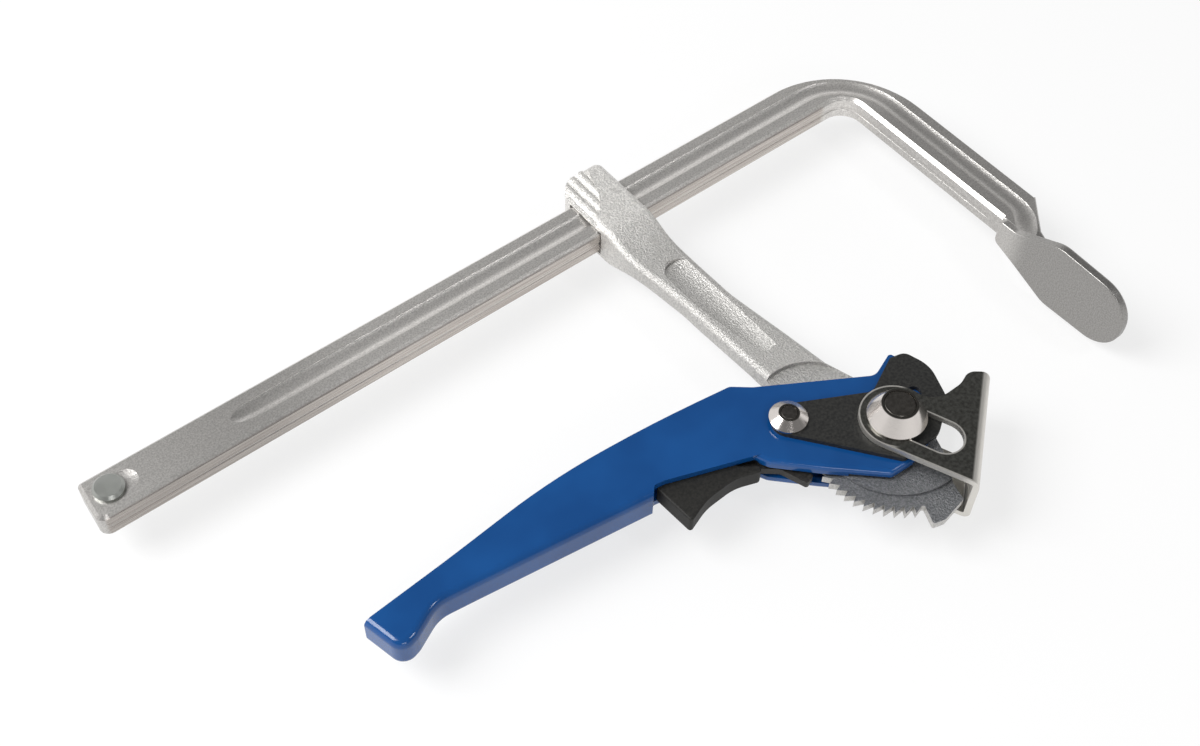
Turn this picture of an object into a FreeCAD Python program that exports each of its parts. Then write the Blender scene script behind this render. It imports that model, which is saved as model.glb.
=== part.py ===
import FreeCAD, Part
import math
import os

V = FreeCAD.Vector
Z_AXIS = V(0, 0, 1)

# Rail with its bent arm and spade pad, all lengths in millimetres
RAIL_WIDTH = 20.0
RAIL_THICK = 11.8
RAIL_CHAMFER = 1.5
RAIL_Y = 152.2
RAIL_END_X = -361.9
RAIL_END_SLANT = 1.4
ARM_OUTER_X = 23.6
BEND_OUTER_R = 45.0
BEND_INNER_R = 10.0
BEND_MIDDLE_R = 28.0
ARM_END_Y = 48.0
GROOVE_WIDTH = 8.4
GROOVE_DEPTH = 1.3
GROOVE_START_X = -288.0
GROOVE_END_Y = 52.0
GROOVE_FADE_R = 70.0
GROOVE_HOOK_R = 16.0
GROOVE_HOOK_DEG = 40.0
GROOVE_HOOK_FADE_R = 30.0
LINE_RADIUS = 1.3
LINE_DEPTH = 0.35
PAD_HALF_WIDTH = 15.5
PAD_THICK = 4.2
PAD_CENTRE_Y = -4.5
STOP_X = -352.0
STOP_Y = 152.7
STOP_SHANK_R = 3.0
STOP_HEAD_R = 6.0
STOP_FLAT_R = 4.9
STOP_HEAD_H = 2.4
DENT_R = 26.0
DENT_DEPTH = 0.45
DENT_OFFSET = 6.4

# Layers of the lever end, measured from the middle plane of the clamp
TOOTH_HALF = 1.7
SECTOR_HALF = 2.8
LIP_IN = 3.1
CHEEK_IN = 4.3
COLUMN_HALF = 4.6
CHEEK_OUT = 7.0
CAM_OUT = 9.0
PLATE_IN = 9.2
PLATE_OUT = 11.6
CAP_BASE = 11.8

# Main pivot
PIVOT_X = -107.0
PIN_R = 6.0
PIN_PLAY = 0.05
CAP_R = 11.4
CAP_FLAT_R = 6.9
CAP_H = 7.6
CAP_RIM = 0.8
WASHER_R = 10.0
SEAT_PLAY = 0.1
BUSH_R = 7.1

# Sliding arm, positions counted from the main pivot
EYE_PLAY = 0.35
HEAD_HALF = 9.6
HEAD_LEFT = -28.0
HEAD_RIGHT = -4.8
HEAD_BASE_Y = 140.0
FLANK_X = -13.0
FLANK_Z = 9.4
FLANK_DEG = 9.5
BEAD_R = 3.2
BEAD_RISE = 0.5
SHANK_TOP_Y = 92.0
TOOTH_TIP_R = 36.5
TOOTH_ROOT_R = 33.3
TOOTH_FIRST_DEG = 178.1
TOOTH_PITCH_DEG = 6.11
TOOTH_COUNT = 11
TOOTH_LEAN_DEG = 0.5
TOOTH_LEAST_DEPTH = 2.7
LEAD_IN = (1.6, 1.4, 1.1, 0.7, 0.4)
STEP_R = 29.1
RIDGE_X = -17.6
RIDGE_Y = 24.5
RIDGE_R = 22.2
LEVER_CLEAR_R = 33.5
POCKET_LEFT = -20.6
POCKET_MIDDLE = -15.0
POCKET_FLOOR_R = 16.0
POCKET_DEPTH = 1.5
POCKET_MARK_R = 3.0

# Lever: handle, cam plates and their rivets
HANDLE_TAIL_X = -204.0
WEB_END_X = -90.8
RIM_LOW_Y = 42.0
RIM_TOP_Y = 51.3
LIP_BACK_X = -51.5
LIP_FRONT_X = -6.0
CAM_RIVET_X = -31.2
CAM_RIVET_Y = 25.2
CAM_RIVET_R = 3.2
CAM_CAP_R = 7.4
CAM_CAP_FLAT_R = 3.9
CAM_CAP_H = 3.6
CAM_HOLE_X = 14.6
CAM_HOLE_Y = 5.0
CAM_HOLE_R = 2.8
WEB_EDGE_R = 3.0
LIP_EDGE_R = 2.2

# Trigger, pawl and spring
TRIGGER_PIN_X = -51.0
TRIGGER_PIN_Y = 29.5
TRIGGER_PIN_R = 2.5
PIN_SHORT = 0.8
TRIGGER_HALF = 4.0
PAWL_HALF = 1.6
SPRING_WIRE_R = 0.3
SPRING_MEAN_R = 3.9
SPRING_PITCH = 1.05
SPRING_TURNS = 1.25
SPRING_BASE = 2.1
SPRING_SHORT_LEG = 3.0
SPRING_LONG_LEG = 5.0

# Pressure plate
SLOT_DEG = -67.2
SLOT_HALF = 7.4
SLOT_TRAVEL = 18.9
NOSE_R = 14.2
FLANGE_DEG = -50.9
FLANGE_OUT = 33.0
SHEET = 2.4
FLANGE_BEND_R = 3.2

# Half length of cuts that pass through everything, and the tolerance for comparing positions
THROUGH = 20.0
SMALL = 0.01


def rounded(points):
    """Closed wire through corner points (x, y, corner radius)."""
    corners = []
    count = len(points)
    for i in range(count):
        x, y, radius = points[i]
        here = V(x, y, 0)
        before = V(points[i - 1][0], points[i - 1][1], 0) - here
        after = V(points[(i + 1) % count][0], points[(i + 1) % count][1], 0) - here
        if radius <= 0:
            corners.append((here, None, here))
            continue
        half = before.getAngle(after) / 2
        reach = radius / math.tan(half)
        before.normalize()
        after.normalize()
        middle = (before + after).normalize()
        centre = here + middle * (radius / math.sin(half))
        corners.append((here + before * reach, centre - middle * radius, here + after * reach))
    edges = []
    for i in range(count):
        start, through, end = corners[i]
        if through is not None:
            edges.append(Part.Arc(start, through, end).toShape())
        following = corners[(i + 1) % count][0]
        if end.distanceToPoint(following) > SMALL:
            edges.append(Part.makeLine(end, following))
    return Part.Wire(edges)


def plate(points, low, high):
    """Flat plate with the given outline between two heights."""
    face = Part.Face(rounded(points))
    face.translate(V(0, 0, low))
    return face.extrude(V(0, 0, high - low))


def drum(x, y, radius, low, high):
    return Part.makeCylinder(radius, high - low, V(x, y, low), Z_AXIS)


def box(x0, x1, y0, y1, z0, z1):
    return Part.makeBox(x1 - x0, y1 - y0, z1 - z0, V(x0, y0, z0))


def mirrored(shape):
    """The same shape below the middle plane."""
    return shape.mirror(V(0, 0, 0), Z_AXIS)


def to_pivot(shape):
    """Move a shape drawn round the main pivot to its place."""
    moved = shape.copy()
    moved.translate(V(PIVOT_X, 0, 0))
    return moved


def polar(radius, degrees):
    angle = math.radians(degrees)
    return radius * math.cos(angle), radius * math.sin(angle)


def swept(edges, radius):
    """Round bar of the given radius along a path."""
    path = Part.Wire(edges)
    start = path.Edges[0].valueAt(path.Edges[0].FirstParameter)
    tangent = path.Edges[0].tangentAt(path.Edges[0].FirstParameter)
    ring = Part.Wire(Part.makeCircle(radius, start, tangent))
    return path.makePipeShell([ring], True, False)


def bend_arc(radius, centre_x, centre_y, height):
    """Quarter turn from the rail direction into the arm direction."""
    diagonal = radius * math.sqrt(0.5)
    start = V(centre_x, centre_y + radius, height)
    middle = V(centre_x + diagonal, centre_y + diagonal, height)
    end = V(centre_x + radius, centre_y, height)
    return Part.Arc(start, middle, end).toShape()


def rising_arc(start, heading, radius):
    """Arc that leaves the bar's face gently, where the hollow runs out."""
    points = [start]
    for degrees in (12.5, 25):
        turn = math.radians(degrees)
        points.append(start + heading * (radius * math.sin(turn)) + V(0, 0, radius * (1 - math.cos(turn))))
    return Part.Arc(points[0], points[1], points[2]).toShape()


def groove_cutter():
    """Round bar that cuts the wide hollow along rail, bend and arm."""
    half = GROOVE_WIDTH / 2
    radius = (half ** 2 + GROOVE_DEPTH ** 2) / (2 * GROOVE_DEPTH)
    height = RAIL_THICK / 2 + radius - GROOVE_DEPTH
    middle_x = ARM_OUTER_X - RAIL_WIDTH / 2
    centre_x = middle_x - BEND_MIDDLE_R
    centre_y = RAIL_Y - BEND_MIDDLE_R
    left = V(GROOVE_START_X, RAIL_Y, height)
    low = V(middle_x, GROOVE_END_Y, height)
    hook = low + V(-GROOVE_HOOK_R, 0, 0)
    half_turn = math.radians(GROOVE_HOOK_DEG / 2)
    full_turn = math.radians(GROOVE_HOOK_DEG)
    hook_middle = hook + V(math.cos(half_turn), -math.sin(half_turn), 0) * GROOVE_HOOK_R
    hook_end = hook + V(math.cos(full_turn), -math.sin(full_turn), 0) * GROOVE_HOOK_R
    onward = V(-math.sin(full_turn), -math.cos(full_turn), 0)
    start_rise = rising_arc(left, V(-1, 0, 0), GROOVE_FADE_R)
    edges = [
        start_rise,
        Part.makeLine(left, V(centre_x, RAIL_Y, height)),
        bend_arc(BEND_MIDDLE_R, centre_x, centre_y, height),
        Part.makeLine(V(middle_x, centre_y, height), low),
        Part.Arc(low, hook_middle, hook_end).toShape(),
        rising_arc(hook_end, onward, GROOVE_HOOK_FADE_R),
    ]
    return swept(edges, radius)


def line_cutter(offset, radius):
    """Thin bar that cuts the fine line along one narrow face."""
    y_line = RAIL_Y + offset
    x_line = ARM_OUTER_X - RAIL_WIDTH / 2 + offset
    centre_x = x_line - radius
    centre_y = y_line - radius
    edges = [
        Part.makeLine(V(RAIL_END_X + 1, y_line, 0), V(centre_x, y_line, 0)),
        bend_arc(radius, centre_x, centre_y, 0),
        Part.makeLine(V(x_line, centre_y, 0), V(x_line, ARM_END_Y + 8, 0)),
    ]
    return swept(edges, LINE_RADIUS)


def bar_blank():
    """Straight rail, bend and arm as one chamfered bar."""
    top = RAIL_Y + RAIL_WIDTH / 2
    low = RAIL_Y - RAIL_WIDTH / 2
    inner_x = ARM_OUTER_X - RAIL_WIDTH
    half = RAIL_THICK / 2
    corners = [
        (RAIL_END_X, low, 4.0),
        (inner_x, low, BEND_INNER_R),
        (inner_x, ARM_END_Y, 0),
        (ARM_OUTER_X, ARM_END_Y, 0),
        (ARM_OUTER_X, top, BEND_OUTER_R),
        (RAIL_END_X + RAIL_END_SLANT, top, 2.0),
    ]
    bar = plate(corners, -half, half)
    rims = []
    for edge in bar.Edges:
        flat = abs(edge.BoundBox.ZMax - edge.BoundBox.ZMin) < SMALL
        at_arm_end = abs(edge.BoundBox.YMax - ARM_END_Y) < SMALL
        if flat and not at_arm_end:
            rims.append(edge)
    return bar.makeChamfer(RAIL_CHAMFER, rims)


def cross_section(x0, x1, half, corner, y):
    """Rounded rectangle across the arm at height y."""
    outline = rounded([(x0, -half, corner), (x1, -half, corner), (x1, half, corner), (x0, half, corner)])
    outline.rotate(V(0, 0, 0), V(1, 0, 0), 90)
    outline.translate(V(0, y, 0))
    return outline


def pad_blade():
    """Spade pad across the arm's end, with softened rims."""
    far = PAD_CENTRE_Y - PAD_HALF_WIDTH
    outline = rounded([
        (47.0, -5.0, 3.0), (35.0, -9.4, 12.0), (17.0, -PAD_HALF_WIDTH - 1.2, 12.0), (far, -PAD_HALF_WIDTH, 15.0),
        (far, PAD_HALF_WIDTH, 15.0), (17.0, PAD_HALF_WIDTH + 1.2, 12.0), (31.0, 10.0, 12.0), (39.0, 6.8, 8.0),
        (47.0, 7.0, 2.0),
    ])
    blade = Part.Face(outline).extrude(V(0, 0, PAD_THICK))
    blade = blade.makeFillet(1.4, [e for e in blade.Edges if e.BoundBox.ZMin > PAD_THICK - SMALL])
    blade = blade.makeFillet(0.5, [e for e in blade.Edges if e.BoundBox.ZMax < SMALL])
    return blade.rotate(V(0, 0, 0), V(1, 1, 1), 120)


def wedge():
    """End of the bent arm, narrowing down to the pad's back."""
    half = RAIL_THICK / 2
    return Part.makeLoft([
        cross_section(ARM_OUTER_X - RAIL_WIDTH, ARM_OUTER_X, half, RAIL_CHAMFER, ARM_END_Y),
        cross_section(0.6, 10.4, half + 0.6, 1.5, 33.0),
        cross_section(0.6, 4.0, half + 1.0, 1.0, 18.0),
    ], True, True)


def rail():
    bar = bar_blank()
    upper = groove_cutter()
    offset = RAIL_WIDTH / 2 + LINE_RADIUS - LINE_DEPTH
    outer_line = line_cutter(offset, BEND_OUTER_R + LINE_RADIUS - LINE_DEPTH)
    inner_line = line_cutter(-offset, BEND_INNER_R - LINE_RADIUS + LINE_DEPTH)
    hole = drum(STOP_X, STOP_Y, STOP_SHANK_R, -THROUGH, THROUGH)
    dent = Part.makeSphere(DENT_R, V(STOP_X + DENT_OFFSET, STOP_Y, RAIL_THICK / 2 - DENT_DEPTH + DENT_R))
    body = bar.fuse(wedge()).cut([upper, mirrored(upper), outer_line, inner_line, hole, dent])
    return body.fuse(pad_blade()).removeSplitter()


def stop_rivet():
    half = RAIL_THICK / 2
    shank = drum(STOP_X, STOP_Y, STOP_SHANK_R, -half, half)
    bevel = STOP_HEAD_R - STOP_FLAT_R
    rim = drum(STOP_X, STOP_Y, STOP_HEAD_R, half, half + STOP_HEAD_H - bevel)
    crown = Part.makeCone(STOP_HEAD_R, STOP_FLAT_R, bevel, V(STOP_X, STOP_Y, half + STOP_HEAD_H - bevel), Z_AXIS)
    head = rim.fuse(crown)
    return shank.fuse([head, mirrored(head)]).removeSplitter()


def tooth_points():
    """Saw teeth: steep on the side that faces the closed pawl, sloping on the other."""
    points = []
    for i in range(TOOTH_COUNT):
        angle = TOOTH_FIRST_DEG + i * TOOTH_PITCH_DEG
        drop = LEAD_IN[i] if i < len(LEAD_IN) else 0.0
        tip = TOOTH_TIP_R - drop
        root = min(TOOTH_ROOT_R, tip - TOOTH_LEAST_DEPTH)
        x, y = polar(root, angle - TOOTH_LEAN_DEG)
        points.append((x, y, 0))
        x, y = polar(tip, angle)
        points.append((x, y, 0))
    return points


def sector_outline():
    """Toothed end of the arm, walked round from the column's left side."""
    return (
        [(-22.6, 60, 0), (-22.6, 44, 12), (-28.5, 25, 20), (-32.6, 7, 10)]
        + tooth_points()
        + [(-13.6, -30.0, 0.8), (-17.0, -38.4, 0.8), (-12.2, -39.7, 1.5), (-0.6, -37.6, 1.0), (1.2, -30.7, 8),
           (8.1, -18.2, 10), (11.0, -10.0, 6), (14.0, 2.0, 9), (5.5, 26, 14), (1.0, 40, 20), (-1.6, 60, 0)]
    )


def sector():
    ring = plate(sector_outline(), -TOOTH_HALF, TOOTH_HALF)
    thick = plate(sector_outline(), -SECTOR_HALF, SECTOR_HALF)
    inner = drum(0, 0, STEP_R, -SECTOR_HALF, SECTOR_HALF)
    above = box(-40, 10, 10, 70, -SECTOR_HALF, SECTOR_HALF)
    return ring.fuse(thick.common(inner.fuse(above)))


def neck():
    """Widening part of the arm between the straight shank and the head."""
    sections = []
    for y, left, right, half in (
            (SHANK_TOP_Y, -24.0, -4.9, 4.6), (98, -24.5, -5.0, 4.6), (104, -25.1, -5.1, 4.6), (110, -25.7, -5.15, 4.62),
            (116, -26.4, -5.2, 4.7), (122, -27.2, -5.2, 5.1), (128, -27.8, -5.1, 6.4), (134, -28.0, -4.95, 8.5),
            (HEAD_BASE_Y, HEAD_LEFT, HEAD_RIGHT, HEAD_HALF)):
        sections.append(cross_section(left, right, half, 2.8, y))
    return Part.makeLoft(sections, True, False)


def head():
    """Rounded block round the eye."""
    block = plate([
        (HEAD_LEFT, HEAD_BASE_Y, 0), (HEAD_LEFT, 166.5, 6.5), (-21.5, 172.6, 6.0), (HEAD_RIGHT, 173.4, 3.5),
        (HEAD_RIGHT, HEAD_BASE_Y, 0),
    ], -HEAD_HALF, HEAD_HALF)
    rims = [e for e in block.Edges if e.BoundBox.ZLength < SMALL and e.BoundBox.YMax > HEAD_BASE_Y + 1]
    return block.makeFillet(2.8, rims)


def shank():
    """Straight part of the arm with rounded long edges."""
    bar = plate([
        (-24.0, SHANK_TOP_Y, 0), (-24.0, 86, 40), (-22.6, 50, 60), (-22.6, 30, 0), (4.5, 26, 0), (1.6, 38, 16),
        (-0.9, 58, 60), (-4.9, 87, 60), (-4.9, SHANK_TOP_Y, 0),
    ], -COLUMN_HALF, COLUMN_HALF)
    rims = []
    for edge in bar.Edges:
        flat = edge.BoundBox.ZLength < SMALL
        crossing = edge.BoundBox.YMin > SHANK_TOP_Y - 1 or edge.BoundBox.YMax < 31
        if flat and not crossing:
            rims.append(edge)
    return bar.makeFillet(2.8, rims)


def flank_region(inset):
    """Plan of the head's beaded left flank, right of it the curved ridge."""
    return [
        (-11.2, 175 - inset, 0), (-13.9, 165.9, 20), (-16.4, 158.2, 12), (-20.0, 152.4, 6), (-27.6, 145.2, 4),
        (-29.5 + inset, 143.0, 0), (-29.5 + inset, 168.0, 6), (-22.0, 175.0 - inset, 6),
    ]


def flank_cutter():
    """Sloping cut that lowers the left flank toward the rail."""
    slope = box(-40, 40, 120, 190, 0, 12)
    slope.rotate(V(0, 0, 0), V(0, 1, 0), -FLANK_DEG)
    slope.translate(V(FLANK_X, 0, FLANK_Z))
    upper = slope.common(plate(flank_region(0), 0, 14))
    return [upper, mirrored(upper)]


def flank_beads():
    """Rounded beads running down the left flank, each one lower than the last."""
    fall = math.tan(math.radians(FLANK_DEG))
    bars = []
    for x in (-15.6, -19.6, -23.8):
        centre_z = FLANK_Z + (x - FLANK_X) * fall + BEAD_RISE - BEAD_R
        bars.append(Part.makeCylinder(BEAD_R, 60, V(x, 130, centre_z), V(0, 1, 0)))
    upper = bars[0].fuse(bars[1:]).common(plate(flank_region(2.5), 5, 12))
    return [upper, mirrored(upper)]


def ridge_cutter():
    """Clears the arm's faces to the thinner sector below the curved ridge."""
    ridge = drum(RIDGE_X, RIDGE_Y, RIDGE_R, SECTOR_HALF, THROUGH)
    upper = ridge.fuse(drum(0, 0, LEVER_CLEAR_R, SECTOR_HALF, THROUGH))
    return [upper, mirrored(upper)]


def pocket_cutter():
    """Pocket on both faces of the shank: hollow floor, sharp left edge, fading to the right."""
    outline = [
        (POCKET_LEFT, 114.0, 6.4), (POCKET_LEFT, 90.0, 60), (-17.4, 66.0, 60), (-14.6, 55.6, 3.6), (-6.4, 56.8, 3.6),
        (-7.4, 114.0, 6.4),
    ]
    axis_z = COLUMN_HALF - POCKET_DEPTH + POCKET_FLOOR_R
    floor = Part.makeCylinder(POCKET_FLOOR_R, 80, V(POCKET_MIDDLE, 45, axis_z), V(0, 1, 0))
    mark = drum(-14.8, 111.6, POCKET_MARK_R, COLUMN_HALF - 0.3, 9)
    upper = floor.common(plate(outline, 0, 9)).fuse(mark)
    return [upper, mirrored(upper)]


def sliding_arm():
    column = neck().fuse([shank(), head()])
    column = column.cut(ridge_cutter() + flank_cutter() + pocket_cutter())
    body = column.fuse([sector()] + flank_beads())
    half_y = RAIL_WIDTH / 2 + EYE_PLAY
    half_z = RAIL_THICK / 2 + EYE_PLAY
    eye = box(-50, 20, RAIL_Y - half_y, RAIL_Y + half_y, -half_z, half_z)
    bore = drum(0, 0, PIN_R, -THROUGH, THROUGH)
    return to_pivot(body.cut([eye, bore]).removeSplitter())


def pivot_pin():
    top = CAP_BASE + CAP_H
    shaft = drum(0, 0, PIN_R, -top, top)
    ends = [e for e in shaft.Edges if e.BoundBox.ZLength < SMALL]
    return to_pivot(shaft.makeChamfer(0.4, ends))


def turned_cap(base_radius, flat_radius, bore_radius, base, height):
    """Turned cap: short rim, cone and flat top round a bore."""
    rim = drum(0, 0, base_radius, base, base + CAP_RIM)
    cone = Part.makeCone(base_radius, flat_radius, height - CAP_RIM, V(0, 0, base + CAP_RIM), Z_AXIS)
    return rim.fuse(cone).cut(drum(0, 0, bore_radius, base - 1, base + height + 1)).removeSplitter()


def pivot_cap_upper():
    return to_pivot(turned_cap(CAP_R, CAP_FLAT_R, PIN_R, CAP_BASE, CAP_H))


def pivot_cap_lower():
    return mirrored(pivot_cap_upper())


def boss_washer_upper():
    ring = drum(0, 0, WASHER_R, SECTOR_HALF, CHEEK_IN - SEAT_PLAY)
    return to_pivot(ring.cut(drum(0, 0, PIN_R, 0, CHEEK_IN)))


def boss_washer_lower():
    return mirrored(boss_washer_upper())


def slot_bush_upper():
    ring = drum(0, 0, BUSH_R, CAM_OUT + SEAT_PLAY, CAP_BASE - SEAT_PLAY)
    return to_pivot(ring.cut(drum(0, 0, PIN_R + PIN_PLAY, 0, CAP_BASE)))


def slot_bush_lower():
    return mirrored(slot_bush_upper())


def handle_outline():
    """Side view of the handle, from the tail's tip along its upper edge and back."""
    return [
        (-202.6, 51.2, 0), (-165.0, 53.9, 900), (-117.0, 58.3, 280), (-72.0, 55.3, 560), (-38.0, 50.6, 3.0),
        (-31.0, 44.9, 5), (10.0, 20.6, 5), (21.6, 25.0, 1.3), (25.9, 11.0, 14), (20.8, -3.6, 12), (8.0, -12.6, 8),
        (-6.5, -16.3, 0), (-16.6, -15.8, 3.4), (-35.6, 2.2, 40), (-48.6, 15.6, 3.0), (-51.2, 20.9, 0),
        (-84.4, 32.8, 6), (-88.8, 33.6, 1.5), (-92.0, 30.0, 0), (-164.0, 39.9, 60), (-178.5, 41.8, 14),
        (-190.5, 35.8, 8), (-198.4, 33.6, 5.5),
    ]


def cavity_outline():
    """Hollow of the handle's channel, open toward the rail and round the trigger."""
    return [
        (-200.0, 80, 0), (-200.0, 48, 4), (-196.0, 38.4, 2), (-191.0, 39.6, 3), (-179.0, 45.0, 12), (-164.0, 42.9, 20),
        (WEB_END_X, 33.4, 0), (WEB_END_X, -40, 0), (-50.2, -40, 0), (-50.2, 21.0, 0), (-46.6, 17.0, 2),
        (-33.6, 3.9, 40), (-28.0, -1.6, 0), (-28.0, -40, 0), (40, -40, 0), (40, 80, 0),
    ]


def lower_rims(blank, x0, x1):
    """Rim edges of the handle's bent lower side between two positions along it."""
    rims = []
    for edge in blank.Edges:
        size = edge.BoundBox
        flat = size.ZLength < SMALL and abs(size.ZMax) > CHEEK_OUT - SMALL
        between = size.XMin > x0 and size.XMax < x1
        low = size.YMin < RIM_LOW_Y and size.YMax < RIM_TOP_Y
        if flat and between and low:
            rims.append(edge)
    return rims


def handle():
    blank = plate(handle_outline(), -CHEEK_OUT, CHEEK_OUT)
    blank = blank.makeFillet(WEB_EDGE_R, lower_rims(blank, HANDLE_TAIL_X, WEB_END_X))
    blank = blank.makeFillet(LIP_EDGE_R, lower_rims(blank, LIP_BACK_X, LIP_FRONT_X))
    hollow = plate(cavity_outline(), -CHEEK_IN, CHEEK_IN)
    pawl_gap = box(-52, -20, -20, 30, -LIP_IN, LIP_IN)
    pivot_bore = drum(0, 0, PIN_R + PIN_PLAY, -THROUGH, THROUGH)
    rivet_bore = drum(CAM_RIVET_X, CAM_RIVET_Y, CAM_RIVET_R, -THROUGH, THROUGH)
    pin_end = CHEEK_OUT - PIN_SHORT
    trigger_bore = drum(TRIGGER_PIN_X, TRIGGER_PIN_Y, TRIGGER_PIN_R, -pin_end, pin_end)
    return to_pivot(blank.cut([hollow, pawl_gap, pivot_bore, rivet_bore, trigger_bore]))


def cam_plate_upper():
    """Cam plate: long tail to the rivet, rising edge that pushes the pressure plate."""
    outline = [
        (-56.5, 45.8, 7.0), (2.5, 14.8, 5), (19.0, 22.4, 1.5), (25.4, 20.9, 4.0), (28.6, 10.5, 14),
        (22.6, -5.0, 12), (9.0, -14.0, 8), (-9.6, -14.6, 2.0),
    ]
    body = plate(outline, CHEEK_OUT, CAM_OUT)
    pivot_bore = drum(0, 0, PIN_R + PIN_PLAY, 0, THROUGH)
    rivet_bore = drum(CAM_RIVET_X, CAM_RIVET_Y, CAM_RIVET_R, 0, THROUGH)
    peep_hole = drum(CAM_HOLE_X, CAM_HOLE_Y, CAM_HOLE_R, 0, THROUGH)
    return to_pivot(body.cut([pivot_bore, rivet_bore, peep_hole]))


def cam_plate_lower():
    return mirrored(cam_plate_upper())


def cam_rivet_upper():
    shank = drum(CAM_RIVET_X, CAM_RIVET_Y, CAM_RIVET_R, CHEEK_IN, CAM_OUT + CAM_CAP_H)
    ends = [e for e in shank.Edges if e.BoundBox.ZMin > CAM_OUT]
    return to_pivot(shank.makeChamfer(0.3, ends))


def cam_rivet_lower():
    return mirrored(cam_rivet_upper())


def cam_cap_upper():
    cap = turned_cap(CAM_CAP_R, CAM_CAP_FLAT_R, CAM_RIVET_R, CAM_OUT, CAM_CAP_H)
    cap.translate(V(CAM_RIVET_X, CAM_RIVET_Y, 0))
    return to_pivot(cap)


def cam_cap_lower():
    return mirrored(cam_cap_upper())


def trigger_pin():
    end = CHEEK_OUT - PIN_SHORT
    return to_pivot(drum(TRIGGER_PIN_X, TRIGGER_PIN_Y, TRIGGER_PIN_R, -end, end))


def pawl():
    """Steel pawl: hub on the pin, nose beside the teeth, tail held in the trigger."""
    outline = [
        (-57.5, 35.0, 5.5), (-45.0, 35.0, 5.5), (-43.5, 24.0, 5), (-36.0, 14.0, 1.0), (-37.4, 3.6, 0.5),
        (-41.2, 2.2, 1.2), (-45.0, 13.0, 4), (-54.0, 20.5, 5), (-78.0, 23.5, 1.5), (-78.0, 30.5, 1.5),
    ]
    body = plate(outline, -PAWL_HALF, PAWL_HALF)
    bore = drum(TRIGGER_PIN_X, TRIGGER_PIN_Y, TRIGGER_PIN_R + PIN_PLAY, -THROUGH, THROUGH)
    return to_pivot(body.cut(bore))


def pawl_slot():
    """Slot in the trigger that grips the pawl's tail."""
    outline = [(-57.6, 21.0, 0), (-78.0, 23.5, 1.5), (-78.0, 30.5, 1.5), (-57.6, 34.8, 0)]
    return plate(outline, -PAWL_HALF, PAWL_HALF)


def trigger():
    """Moulded finger pad hanging below the cheeks."""
    outline = [
        (-87.8, 34.0, 1.5), (-86.6, 14.8, 1.2), (-76.0, 18.6, 24), (-62.0, 19.2, 20), (-52.0, 15.6, 1.5),
        (-51.0, 18.0, 1.2), (-57.6, 23.0, 2.0), (-60.0, 33.4, 2.5),
    ]
    body = plate(outline, -TRIGGER_HALF, TRIGGER_HALF)
    rims = [e for e in body.Edges if e.BoundBox.ZLength < SMALL]
    body = body.makeFillet(0.8, rims)
    return to_pivot(body.cut(pawl_slot()))


def trigger_spring():
    """Torsion spring on the trigger pin: coil with two straight legs, one unbroken wire."""
    steps = int(SPRING_TURNS * 16)
    centre = V(TRIGGER_PIN_X, TRIGGER_PIN_Y, 0)
    points = []
    for i in range(steps + 1):
        share = i / steps
        angle = math.radians(90 + 360 * SPRING_TURNS * share)
        height = SPRING_BASE + SPRING_PITCH * SPRING_TURNS * share
        points.append(centre + V(SPRING_MEAN_R * math.cos(angle), SPRING_MEAN_R * math.sin(angle), height))
    coil = Part.BSplineCurve()
    coil.interpolate(points)
    first = coil.toShape()
    start_tangent = first.tangentAt(first.FirstParameter)
    end_tangent = first.tangentAt(first.LastParameter)
    edges = [
        Part.makeLine(points[0] - start_tangent * SPRING_SHORT_LEG, points[0]),
        first,
        Part.makeLine(points[-1], points[-1] + end_tangent * SPRING_LONG_LEG),
    ]
    gap = SPRING_PITCH - 2 * SPRING_WIRE_R
    print("spring gap between turns", round(gap, 3))
    return to_pivot(swept(edges, SPRING_WIRE_R))


def bent_sheet():
    """Channel of sheet whose middle is the pressing flange, still without its outline."""
    outer = box(-60, FLANGE_OUT, -60, 60, -PLATE_OUT, PLATE_OUT)
    inner = box(-61, FLANGE_OUT - SHEET, -61, 61, -PLATE_IN, PLATE_IN)
    outer_bends = [e for e in outer.Edges if e.BoundBox.XMin > 0 and e.BoundBox.YLength > SHEET]
    inner_bends = [e for e in inner.Edges if e.BoundBox.XMin > 0 and e.BoundBox.YLength > SHEET]
    outer = outer.makeFillet(FLANGE_BEND_R, outer_bends)
    inner = inner.makeFillet(FLANGE_BEND_R - SHEET, inner_bends)
    return outer.cut(inner).rotate(V(0, 0, 0), Z_AXIS, FLANGE_DEG)


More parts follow.
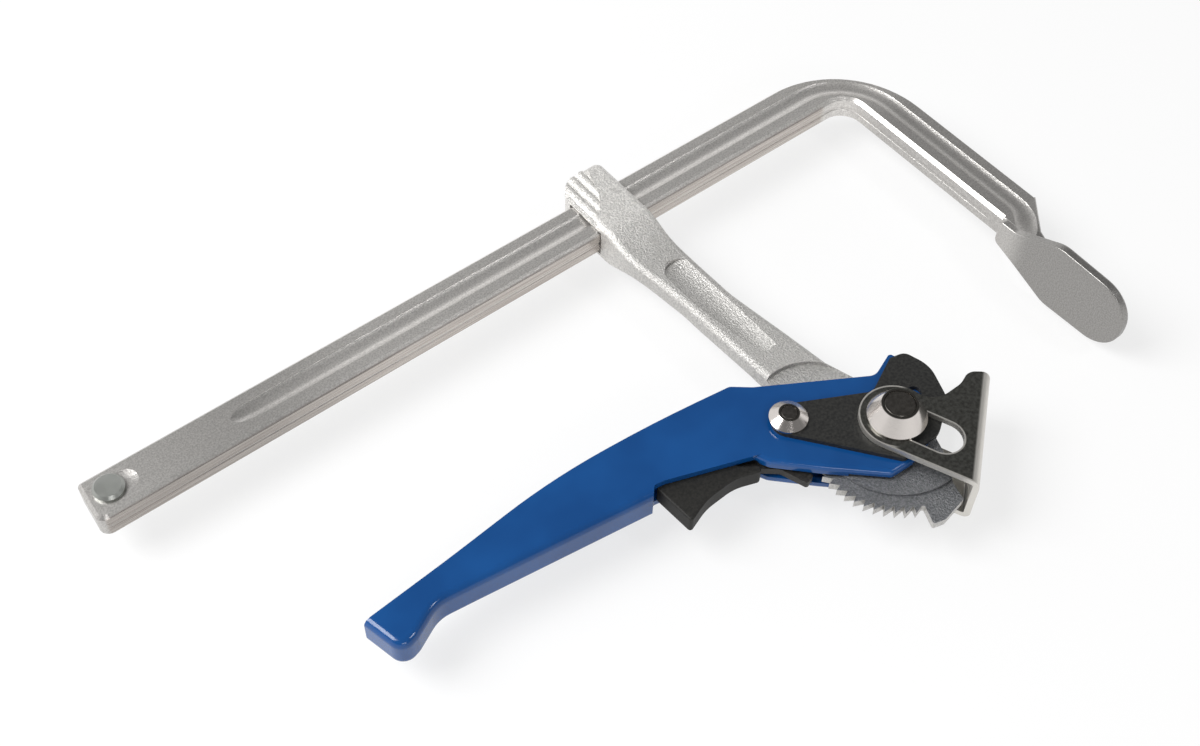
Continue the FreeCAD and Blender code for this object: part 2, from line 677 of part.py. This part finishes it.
def pressure_plate():
    """Bent sheet bracket: two slotted cheeks and the pressing flange, the lower cheek cut back further."""
    turn = math.radians(FLANGE_DEG)
    normal = V(math.cos(turn), math.sin(turn), 0)
    along = V(-normal.y, normal.x, 0)
    reach = FLANGE_OUT + 4
    low = normal * reach - along * 24.5
    high = normal * reach + along * 30.0
    tangent_x, tangent_y = polar(NOSE_R, SLOT_DEG - 90)
    outline = [
        (tangent_x, tangent_y, 0), (low.x, low.y, 0.5), (high.x, high.y, 7.0), (36.4, -1.6, 5.0), (30.0, -4.0, 10),
        (19.0, -4.0, 10), (10.0, 5.0, 0), (0, 6, 0),
    ]
    flat = plate(outline, -THROUGH, THROUGH).fuse(drum(0, 0, NOSE_R, -THROUGH, THROUGH))
    far_x, far_y = polar(SLOT_TRAVEL, SLOT_DEG)
    slot = box(0, SLOT_TRAVEL, -SLOT_HALF, SLOT_HALF, -THROUGH, THROUGH)
    slot.rotate(V(0, 0, 0), Z_AXIS, SLOT_DEG)
    near_end = drum(0, 0, SLOT_HALF, -THROUGH, THROUGH)
    far_end = drum(far_x, far_y, SLOT_HALF, -THROUGH, THROUGH)
    relief = plate([
        (40.0, 0.0, 0), (36.4, -1.6, 3), (30.6, -6.5, 3), (28.8, -13.5, 3), (24.0, -18.6, 3), (18.3, -17.4, 1.5),
        (13.4, -6.0, 6), (10.0, 6.0, 0), (40.0, 12.0, 0),
    ], -PLATE_OUT - 1, 0)
    body = bent_sheet().common(flat).cut([slot, near_end, far_end, relief])
    return to_pivot(body.removeSplitter())


PARTS = [
    rail, stop_rivet, sliding_arm, pivot_pin, pivot_cap_upper, pivot_cap_lower, boss_washer_upper,
    boss_washer_lower, slot_bush_upper, slot_bush_lower, handle, cam_plate_upper, cam_plate_lower,
    cam_rivet_upper, cam_rivet_lower, cam_cap_upper, cam_cap_lower, trigger_pin, trigger_spring,
    trigger, pawl, pressure_plate,
]

os.makedirs("parts", exist_ok=True)
for build in PARTS:
    shape = build()
    name = build.__name__
    shape.exportStep("parts/" + name + ".step")
    size = shape.BoundBox
    print(name, shape.isValid(), len(shape.Solids), round(shape.Volume), round(size.XLength, 1),
          round(size.YLength, 1), round(size.ZLength, 1))
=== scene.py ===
import math

import bpy
import numpy as np
from mathutils import Matrix, Vector


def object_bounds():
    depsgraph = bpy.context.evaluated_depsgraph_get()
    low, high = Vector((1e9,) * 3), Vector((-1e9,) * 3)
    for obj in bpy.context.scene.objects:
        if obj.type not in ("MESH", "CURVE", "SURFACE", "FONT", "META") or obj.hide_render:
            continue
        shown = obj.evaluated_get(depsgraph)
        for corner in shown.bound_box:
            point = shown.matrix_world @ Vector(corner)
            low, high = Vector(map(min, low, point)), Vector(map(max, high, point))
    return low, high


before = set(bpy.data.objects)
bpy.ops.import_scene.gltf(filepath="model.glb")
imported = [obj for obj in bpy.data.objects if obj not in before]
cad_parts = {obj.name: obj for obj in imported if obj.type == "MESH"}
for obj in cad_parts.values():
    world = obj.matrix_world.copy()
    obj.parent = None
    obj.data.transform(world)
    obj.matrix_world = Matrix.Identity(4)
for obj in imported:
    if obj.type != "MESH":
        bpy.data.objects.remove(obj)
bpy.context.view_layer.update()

# Lengths are in metres, in the clamp's own frame: the rail lies along X, the jaws point toward -Y
MM = 0.001
PIVOT_X = -107.0 * MM
RAIL_LOW_Y = 142.2 * MM
ARM_INNER_X = -12.0 * MM
CAP_TOP_Z = 19.4 * MM
CAM_CAP_TOP_Z = 12.6 * MM
PLATE_TOP_Z = 11.6 * MM
TOOTH_TOP_Z = 1.7 * MM

# Where the tone changes along the clamp: below the rail, on the pad, toward the free end, on the sector
BELOW_RAIL_Y = (115 * MM, 140 * MM)
PAD_Y = (30 * MM, 42 * MM)
FREE_END_X = (-300 * MM, -230 * MM)
SECTOR_Y = (21 * MM, 26 * MM)
CAM_CAPS_X = (PIVOT_X - 18 * MM, PIVOT_X - 16 * MM)

# Pressure plate, counted from the pivot: its straight left edge, slot, round nose and bent flange
LEFT_EDGE_X = 4.33 * MM
LEFT_EDGE_Y = -44.16 * MM
LEFT_EDGE_DEG = 204.3
SLOT_DEG = -67.2
SLOT_TRAVEL = 18.9 * MM
SLOT_HALF = 7.4 * MM
NOSE_R = 14.2 * MM
FLANGE_DEG = -50.9
FLANGE_OUT = 33.0 * MM

# Camera, fitted to the rail's edges, the rivets' circles and the pad
CAMERA_TARGET = Vector((-176.5, 89.7, 0.0)) * MM
CAMERA_DISTANCE = 622.8 * MM
CAMERA_AZIMUTH = -39.60
CAMERA_ELEVATION = 52.79
CAMERA_ROLL = 1.67
CAMERA_LENS = 48.33

# Sky: brightness of its dim and bright parts, how high the bright part reaches and how it rises behind
SKY_DIM = 0.22
SKY_BRIGHT = 1.0
SKY_FADE = (0.15, 0.45)
SKY_RISE = 0.35

# Floor: how far it shows as plain white, and its shape
FLOOR_WHITE = 0.72
FLOOR_RADIUS = 3.0
FLOOR_SIDES = 96
FLOOR_GAP = 0.2 * MM

# Point that the lamps face
AIM = (-0.17, 0.07, 0.0)


class Wire:
    """A shader socket on which numbers' own operators add Math nodes."""

    def __init__(self, shader, socket):
        self.shader = shader
        self.socket = socket

    def _math(self, operation, first, second):
        return self.shader.node("ShaderNodeMath", {"operation": operation}, {0: first, 1: second})

    def __add__(self, other):
        return self._math("ADD", self, other)

    __radd__ = __add__

    def __sub__(self, other):
        return self._math("SUBTRACT", self, other)

    def __rsub__(self, other):
        return self._math("SUBTRACT", other, self)

    def __mul__(self, other):
        return self._math("MULTIPLY", self, other)

    __rmul__ = __mul__

    def __pow__(self, other):
        return self._math("POWER", self, other)

    def __abs__(self):
        return self._math("ABSOLUTE", self, 0.0)

    def step(self, low, high):
        """Smooth rise from 0 at low to 1 at high."""
        return self.shader.node(
            "ShaderNodeMapRange", {"interpolation_type": "SMOOTHSTEP"},
            {"Value": self, "From Min": low, "From Max": high})

    def contrast(self):
        """Noise, which stays near 0.5, spread over the whole run from 0 to 1."""
        return self.step(0.3, 0.7)


class Nodes:
    """A node tree, and one method that adds any node to it."""

    def __init__(self, tree):
        self.tree = tree

    def node(self, kind, settings, inputs, output=0):
        """Any node: its settings first, then the values or links of its sockets."""
        made = self.tree.nodes.new(kind)
        for setting, value in settings.items():
            setattr(made, setting, value)
        for socket, value in inputs.items():
            if isinstance(value, Wire):
                self.tree.links.new(value.socket, made.inputs[socket])
            else:
                made.inputs[socket].default_value = value
        return Wire(self, made.outputs[output])

    def least(self, first, second):
        """The smaller of two numbers."""
        return self.node("ShaderNodeMath", {"operation": "MINIMUM"}, {0: first, 1: second})

    def most(self, first, second):
        """The larger of two numbers."""
        return self.node("ShaderNodeMath", {"operation": "MAXIMUM"}, {0: first, 1: second})

    def split(self, vector):
        """The three numbers of a vector."""
        outputs = self.node("ShaderNodeSeparateXYZ", {}, {0: vector}).socket.node.outputs
        return [Wire(self, outputs[i]) for i in range(3)]


class Finish(Nodes):
    """One material: a Principled shader and the nodes that vary it over the surface."""

    def __init__(self, name, **constants):
        self.material = bpy.data.materials.new(name)
        self.material.use_nodes = True
        super().__init__(self.material.node_tree)
        self.shader = self.tree.nodes["Principled BSDF"]
        for socket, value in constants.items():
            self.shader.inputs[socket.replace("_", " ")].default_value = value
        self.place = self.node("ShaderNodeTexCoord", {}, {}, "Object")
        self.x, self.y, self.z = self.split(self.place)

    def drive(self, socket, wire):
        """Feed one varying input of the shader."""
        self.tree.links.new(wire.socket, self.shader.inputs[socket])

    def stretched(self, scale):
        """Object coordinates multiplied per axis, so a pattern runs out along the small ones."""
        return self.node("ShaderNodeMapping", {}, {"Vector": self.place, "Scale": scale})

    def noise(self, scale, detail=2.0, roughness=0.5, where=None):
        """Cloudy noise with the given number of spots per metre."""
        return self.node(
            "ShaderNodeTexNoise", {},
            {"Vector": where or self.place, "Scale": scale, "Detail": detail, "Roughness": roughness})

    def along(self, x, y, degrees):
        """Distance measured in one direction in the plane."""
        return x * math.cos(math.radians(degrees)) + y * math.sin(math.radians(degrees))

    def clamped(self, wire, low, high):
        """A number held between two limits."""
        return self.most(self.least(wire, high), low)

    def blend(self, mask, low, high):
        """Colour that goes from low to high as the mask goes from 0 to 1."""
        return self.node("ShaderNodeMix", {"data_type": "RGBA"}, {0: mask, 6: low, 7: high}, 2)

    def bump(self, height, distance, strength):
        """Raise the surface by the height, whose full run stands for the distance."""
        bumped = self.node(
            "ShaderNodeBump", {}, {"Height": height, "Distance": distance, "Strength": strength})
        self.drive("Normal", bumped)


def rgb(red, green, blue):
    """Opaque colour in linear light."""
    return (red, green, blue, 1.0)


# Plain white, and the dark tone mixed into bright steel to make it darker in places
WHITE = rgb(1.0, 1.0, 1.0)
DARK_TONE = rgb(0.03, 0.03, 0.03)


def plated_rail():
    """Plated steel: speckled wide faces, drawn lines on the narrow face, darker toward the bent arm, the pad
    and the free end.
    """
    f = Finish("plated_rail", Metallic=0.85)
    along = f.noise(1.0, 3.0, 0.6, f.stretched((14, 900, 900)))
    grain = f.noise(1500.0, 2.0, 0.6)
    narrow = 1.0 - f.y.step(RAIL_LOW_Y + 0.1 * MM, RAIL_LOW_Y + 0.7 * MM)
    narrow = narrow * (1.0 - f.x.step(ARM_INNER_X, ARM_INNER_X + 4 * MM))
    wide = f.blend(grain.contrast(), rgb(0.56, 0.54, 0.52), rgb(0.78, 0.76, 0.73))
    lined = f.blend(along.contrast(), rgb(0.42, 0.38, 0.35), rgb(0.60, 0.56, 0.52))
    arm = 1.0 - f.y.step(*BELOW_RAIL_Y)
    pad = 1.0 - f.y.step(*PAD_Y)
    free_end = 1.0 - f.x.step(*FREE_END_X)
    # darker below the rail, on the pad and toward the free end
    darkening = 0.30 * arm + 0.28 * pad + 0.30 * free_end
    f.drive("Base Color", f.blend(darkening, f.blend(narrow, wide, lined), DARK_TONE))
    f.drive("Roughness", 0.28 + 0.10 * along - 0.06 * narrow)
    f.bump(grain * (1.0 - narrow) + along, 0.12 * MM, 0.5)
    return f.material


def cast_arm():
    """Plated casting: bright metal over a rough orange-peel skin, darker on the sector as painted shade from
    the handle's cheeks over it.
    """
    f = Finish("cast_arm", Metallic=0.65)
    grain = f.noise(1300.0, 3.0, 0.65)
    patch = f.noise(90.0, 2.0)
    height = abs(f.z)
    sector = 1.0 - f.y.step(*SECTOR_Y)
    shank = 1.0 - f.y.step(*BELOW_RAIL_Y)
    edge = 1.0 - height.step(TOOTH_TOP_Z - 0.15 * MM, TOOTH_TOP_Z - 0.02 * MM)
    skin = f.blend(grain.contrast(), rgb(0.54, 0.53, 0.51), rgb(0.86, 0.84, 0.81))
    # painted shade: the sector is made darker, slightly bluish grey, where the handle's cheeks shadow it;
    # the tooth side faces below TOOTH_TOP_Z stay out of it and keep the bright skin
    painted_sector_shade = f.blend(grain.contrast(), rgb(0.13, 0.135, 0.145), rgb(0.27, 0.275, 0.285))
    # darker on the shank below the rail
    skin = f.blend(0.28 * shank, skin, DARK_TONE)
    f.drive("Base Color", f.blend(sector * (1.0 - edge), skin, painted_sector_shade))
    f.drive("Roughness", 0.30 + 0.14 * patch)
    f.bump(grain, 0.9 * MM, 0.55)
    return f.material


def blue_enamel():
    """Glossy blue enamel with a slight orange peel."""
    f = Finish("blue_enamel", Roughness=0.14, Specular_IOR_Level=0.5)
    patch = f.noise(40.0, 2.0)
    peel = f.noise(420.0, 2.0)
    f.drive("Base Color", f.blend(patch.contrast(), rgb(0.003, 0.052, 0.195), rgb(0.005, 0.066, 0.235)))
    f.bump(peel, 0.06 * MM, 0.3)
    return f.material


def turned_caps():
    """Bright turned cones whose flat tops are darker, a painted reflection of the dim sky above them."""
    f = Finish("turned_caps", Metallic=1.0)
    grain = f.noise(900.0, 3.0, 0.6)
    height = abs(f.z)
    top = height.step(CAP_TOP_Z - 0.25 * MM, CAP_TOP_Z - 0.05 * MM)
    small_top = height.step(CAM_CAP_TOP_Z - 0.2 * MM, CAM_CAP_TOP_Z - 0.05 * MM)
    on_cam = 1.0 - f.x.step(*CAM_CAPS_X)
    # painted reflection: the flat tops of the caps are made dark for the dim sky they mirror
    dark = top + small_top * on_cam
    f.drive("Base Color", f.blend(dark, rgb(0.66, 0.62, 0.59), rgb(0.10, 0.095, 0.085)))
    f.drive("Roughness", 0.12 + 0.08 * grain + 0.14 * dark)
    f.bump(grain, 0.03 * MM, 0.4)
    return f.material


def pivot_ends():
    """Turned steel whose exposed ends are dark like the caps round them, a painted reflection of the dim sky
    above them.
    """
    f = Finish("pivot_ends", Metallic=1.0)
    grain = f.noise(700.0, 3.0, 0.6)
    # painted reflection: the pin ends are made dark for the dim sky they mirror
    f.drive("Base Color", f.blend(grain.contrast(), rgb(0.09, 0.085, 0.075), rgb(0.14, 0.13, 0.12)))
    f.drive("Roughness", 0.28 + 0.12 * grain)
    f.bump(grain, 0.06 * MM, 0.5)
    return f.material


def satin_metal(name, low, high, rough, grain_scale, grain_depth):
    """Plain satin metal with fine grain and a slow change of tone."""
    f = Finish(name, Metallic=1.0)
    grain = f.noise(grain_scale, 3.0, 0.6)
    patch = f.noise(70.0, 2.0)
    f.drive("Base Color", f.blend(patch.contrast(), low, high))
    f.drive("Roughness", rough + 0.10 * grain)
    f.bump(grain, grain_depth, 0.5)
    return f.material


def dark_plate():
    """Dark satin sheet steel with painted highlights along its edges, its slot, its nose and its bend, and
    bright cut side walls.
    """
    f = Finish("dark_plate", Metallic=1.0)
    grain = f.noise(700.0, 3.0, 0.6)
    x = f.x - PIVOT_X
    height = abs(f.z)
    radius = (x * x + f.y * f.y) ** 0.5
    across = f.along(x, f.y, FLANGE_DEG)
    down_slot = f.along(x, f.y, SLOT_DEG)
    beside = f.along(x, f.y, SLOT_DEG + 90)
    past_end = down_slot - f.clamped(down_slot, 0.0, SLOT_TRAVEL)
    from_slot = (past_end * past_end + beside * beside) ** 0.5 - SLOT_HALF
    from_edge = f.along(LEFT_EDGE_X - x, LEFT_EDGE_Y - f.y, LEFT_EDGE_DEG)
    rim = 1.0 - f.least(from_slot, from_edge).step(0.45 * MM, 0.75 * MM)
    nose = radius.step(NOSE_R - 0.7 * MM, NOSE_R - 0.5 * MM) * (1.0 - across.step(0.0, 3 * MM))
    bend = across.step(FLANGE_OUT - 3.6 * MM, FLANGE_OUT - 2.6 * MM)
    bend = bend * (1.0 - across.step(FLANGE_OUT - 0.25 * MM, FLANGE_OUT - 0.1 * MM))
    wall = 1.0 - height.step(PLATE_TOP_Z - 0.12 * MM, PLATE_TOP_Z - 0.03 * MM)
    wall = wall * height.step(PLATE_TOP_Z - 2.5 * MM, PLATE_TOP_Z - 2.3 * MM)
    # painted highlights on the edge and slot rims, the nose and the bend; the cut side walls are bright as
    # well
    bright = f.most(f.most(rim, nose), f.most(bend, wall))
    tone = f.blend(grain.contrast(), rgb(0.11, 0.11, 0.10), rgb(0.19, 0.19, 0.175))
    f.drive("Base Color", f.blend(bright, tone, rgb(0.70, 0.68, 0.64)))
    f.drive("Roughness", 0.24 + 0.12 * grain + 0.16 * bright)
    f.bump(grain, 0.06 * MM, 0.5)
    return f.material


def black_coating(name, low, high, rough, grain_scale):
    """Black paint or moulding with a fine grain."""
    f = Finish(name, Specular_IOR_Level=0.35)
    grain = f.noise(grain_scale, 3.0, 0.6)
    f.drive("Base Color", f.blend(grain.contrast(), low, high))
    f.drive("Roughness", rough + 0.10 * grain)
    f.bump(grain, 0.08 * MM, 0.5)
    return f.material


def apply(material, *nodes):
    """Give nodes of the clamp one finish in place of their own."""
    for node in nodes:
        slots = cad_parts[node].data.materials
        slots.clear()
        slots.append(material)


apply(plated_rail(), "rail")
apply(cast_arm(), "sliding_arm")
apply(blue_enamel(), "handle")
apply(turned_caps(), "pivot_cap_upper", "pivot_cap_lower", "cam_cap_upper", "cam_cap_lower")
apply(pivot_ends(), "pivot_pin", "cam_rivet_upper", "cam_rivet_lower")
apply(
    satin_metal("turned_steel", rgb(0.36, 0.35, 0.34), rgb(0.46, 0.45, 0.44), 0.30, 900.0, 0.05 * MM),
    "boss_washer_upper", "boss_washer_lower", "slot_bush_upper", "slot_bush_lower",
    "trigger_pin", "trigger_spring")
apply(
    satin_metal("zinc", rgb(0.33, 0.34, 0.32), rgb(0.44, 0.45, 0.43), 0.30, 700.0, 0.08 * MM),
    "stop_rivet")
apply(dark_plate(), "pressure_plate")
apply(
    black_coating("cam_black", rgb(0.010, 0.010, 0.010), rgb(0.026, 0.026, 0.024), 0.42, 900.0),
    "cam_plate_upper", "cam_plate_lower")
apply(
    black_coating("trigger_black", rgb(0.007, 0.007, 0.006), rgb(0.018, 0.017, 0.015), 0.55, 1100.0),
    "trigger")
apply(
    black_coating("pawl_black", rgb(0.012, 0.011, 0.010), rgb(0.030, 0.028, 0.025), 0.45, 1100.0),
    "pawl")


def floor_sheet():
    """Round white sheet under the clamp: a point at each angle, at the floor's radius from the aim point."""
    low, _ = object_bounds()
    angles = np.arange(FLOOR_SIDES) * (2 * math.pi / FLOOR_SIDES)
    across = AIM[0] + FLOOR_RADIUS * np.cos(angles)
    along = AIM[1] + FLOOR_RADIUS * np.sin(angles)
    height = np.full(FLOOR_SIDES, low.z - FLOOR_GAP)
    mesh = bpy.data.meshes.new("floor")
    mesh.from_pydata(np.stack([across, along, height], 1).tolist(), [], [list(range(FLOOR_SIDES))])
    sheet = bpy.data.objects.new("floor", mesh)
    bpy.context.scene.collection.objects.link(sheet)
    f = Finish("white_floor", Roughness=0.9, Specular_IOR_Level=0.1, Base_Color=rgb(0.88, 0.88, 0.88))
    mesh.materials.append(f.material)
    path = f.node("ShaderNodeLightPath", {}, {}, "Is Camera Ray")
    seen = path + Wire(f, path.socket.node.outputs["Is Glossy Ray"])
    seen = seen + Wire(f, path.socket.node.outputs["Is Transmission Ray"])
    white = f.node("ShaderNodeEmission", {}, {"Color": WHITE, "Strength": 1.0})
    lit = Wire(f, f.shader.outputs["BSDF"])
    mixed = f.node("ShaderNodeMixShader", {}, {0: seen * FLOOR_WHITE, 1: lit, 2: white})
    f.tree.links.new(mixed.socket, f.tree.nodes["Material Output"].inputs["Surface"])


def world_light():
    """White near the horizon, higher behind the rail, under a dim sky."""
    world = bpy.data.worlds.new("studio")
    bpy.context.scene.world = world
    world.use_nodes = True
    sky = Nodes(world.node_tree)
    direction = sky.node("ShaderNodeTexCoord", {}, {}, "Generated")
    _, y, z = sky.split(direction)
    band = 1.0 - (z - SKY_RISE * sky.most(y, 0.0)).step(*SKY_FADE)
    background = world.node_tree.nodes["Background"]
    background.inputs["Color"].default_value = WHITE
    strength = SKY_DIM + (SKY_BRIGHT - SKY_DIM) * band
    sky.tree.links.new(strength.socket, background.inputs["Strength"])


def softbox(name, place, width, height, power):
    """Rectangular lamp that faces the aim point."""
    lamp = bpy.data.lights.new(name, "AREA")
    lamp.shape = "RECTANGLE"
    lamp.size = width
    lamp.size_y = height
    lamp.energy = power
    lamp_object = bpy.data.objects.new(name, lamp)
    lamp_object.location = place
    lamp_object.rotation_mode = "QUATERNION"
    lamp_object.rotation_quaternion = (Vector(place) - Vector(AIM)).to_track_quat("Z", "Y")
    bpy.context.scene.collection.objects.link(lamp_object)


def camera():
    """Camera at the photograph's view: azimuth, elevation and roll about the aim point."""
    azimuth = math.radians(CAMERA_AZIMUTH)
    elevation = math.radians(CAMERA_ELEVATION)
    roll = math.radians(CAMERA_ROLL)
    flat = math.cos(elevation)
    back = Vector((math.sin(azimuth) * flat, -math.cos(azimuth) * flat, math.sin(elevation)))
    level = Vector((math.cos(azimuth), math.sin(azimuth), 0))
    upward = back.cross(level)
    right = level * math.cos(roll) + upward * math.sin(roll)
    up = upward * math.cos(roll) - level * math.sin(roll)
    data = bpy.data.cameras.new("camera")
    data.lens = CAMERA_LENS
    data.clip_start = 0.01
    data.clip_end = 20.0
    view = bpy.data.objects.new("camera", data)
    turn = Matrix((right, up, back)).transposed().to_4x4()
    view.matrix_world = Matrix.Translation(CAMERA_TARGET + back * CAMERA_DISTANCE) @ turn
    bpy.context.scene.collection.objects.link(view)
    bpy.context.scene.camera = view


world_light()
softbox("key", (-1.00, 0.60, 1.15), 0.9, 0.9, 24.0)
softbox("fill", (-0.7, -1.1, 0.9), 0.6, 0.3, 3.0)
softbox("edge", (0.45, -0.70, 1.20), 0.25, 0.25, 2.5)
floor_sheet()
camera()
bpy.context.scene.view_settings.view_transform = "Standard"
